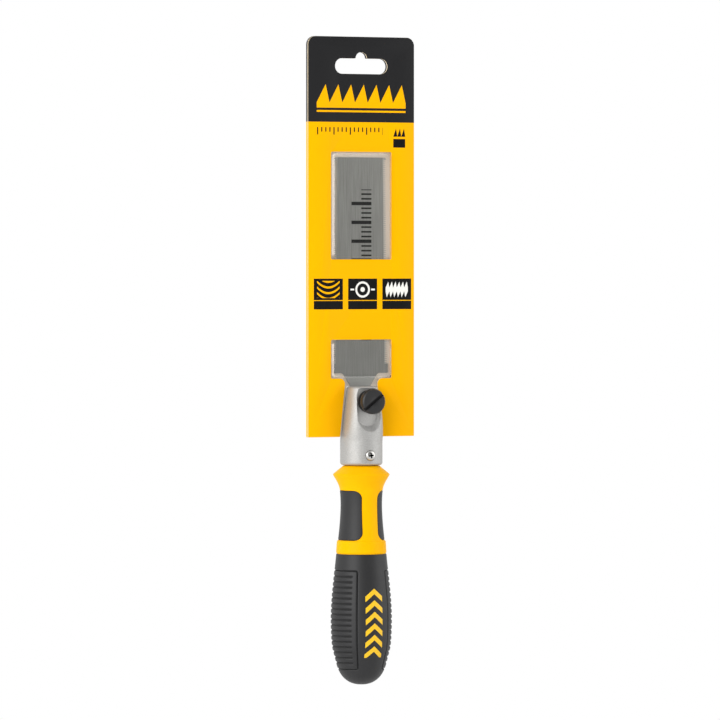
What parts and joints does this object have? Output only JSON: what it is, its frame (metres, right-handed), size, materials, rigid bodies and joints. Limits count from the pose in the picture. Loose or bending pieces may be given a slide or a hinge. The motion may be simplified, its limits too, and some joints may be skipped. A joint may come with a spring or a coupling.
{
  "type": "flush cut saw",
  "caption": "Double-edged flush cut pull saw with a screw clamp neck and a ribbed two-material grip, packed on a windowed hang card with a clear blister.",
  "frame": {"origin": "middle of the grip, on the handle's axis", "axes": "+Z along the handle towards the blade's tip, -Y towards the front, which is the side with the clamp screw's head"},
  "size_m": [0.0624, 0.0324, 0.3436],
  "materials": {
    "blade_steel": "fine ground spring steel",
    "cast_silver": "satin silver on a fine cast texture",
    "black_screw": "satin black",
    "bright_steel": "bright zinc plate",
    "yellow_core": "moulded, half gloss",
    "charcoal_rubber": "soft moulded, fine matt texture",
    "printed_board": "printed and varnished board, yellow with a charcoal header",
    "plain_board": "plain grey-beige board",
    "clear_sheet": "clear formed plastic sheet"
  },
  "bodies": {
    "handle": {"handle_core": "yellow_core", "grip_pad_left": "charcoal_rubber", "grip_pad_right": "charcoal_rubber", "grip_sleeve": "charcoal_rubber", "neck_casting": "cast_silver", "neck_screw": "bright_steel", "thread_insert": "bright_steel"},
    "clamp_washer": {"clamp_washer": "black_screw"},
    "clamp_screw": {"clamp_screw": "black_screw"},
    "blade": {"blade": "blade_steel"},
    "hang_card": {"card_front": "printed_board", "card_back": "plain_board", "blister": "clear_sheet"}
  },
  "joints": [
    {"name": "clamp_travel", "type": "slide", "parent": "handle", "child": "clamp_washer", "axis": [0, -1, 0], "range_m": [0, 0.0025]},
    {"name": "clamp_turn", "type": "hinge", "parent": "clamp_washer", "child": "clamp_screw", "pos_m": [0, -0.0122, 0.11525], "axis": [0, -1, 0], "range_deg": [0, 1080]},
    {"name": "blade_release", "type": "slide", "parent": "handle", "child": "blade", "axis": [0, 0, 1], "range_m": [0, 0.025]},
    {"name": "card_pull_off", "type": "slide", "parent": "blade", "child": "hang_card", "axis": [0, 0, 1], "range_m": [0, 0.15]}
  ],
  "couplings": [
    {"joint": "clamp_travel", "follows": "clamp_turn", "m_per_rad": 0.00012732}
  ]
}
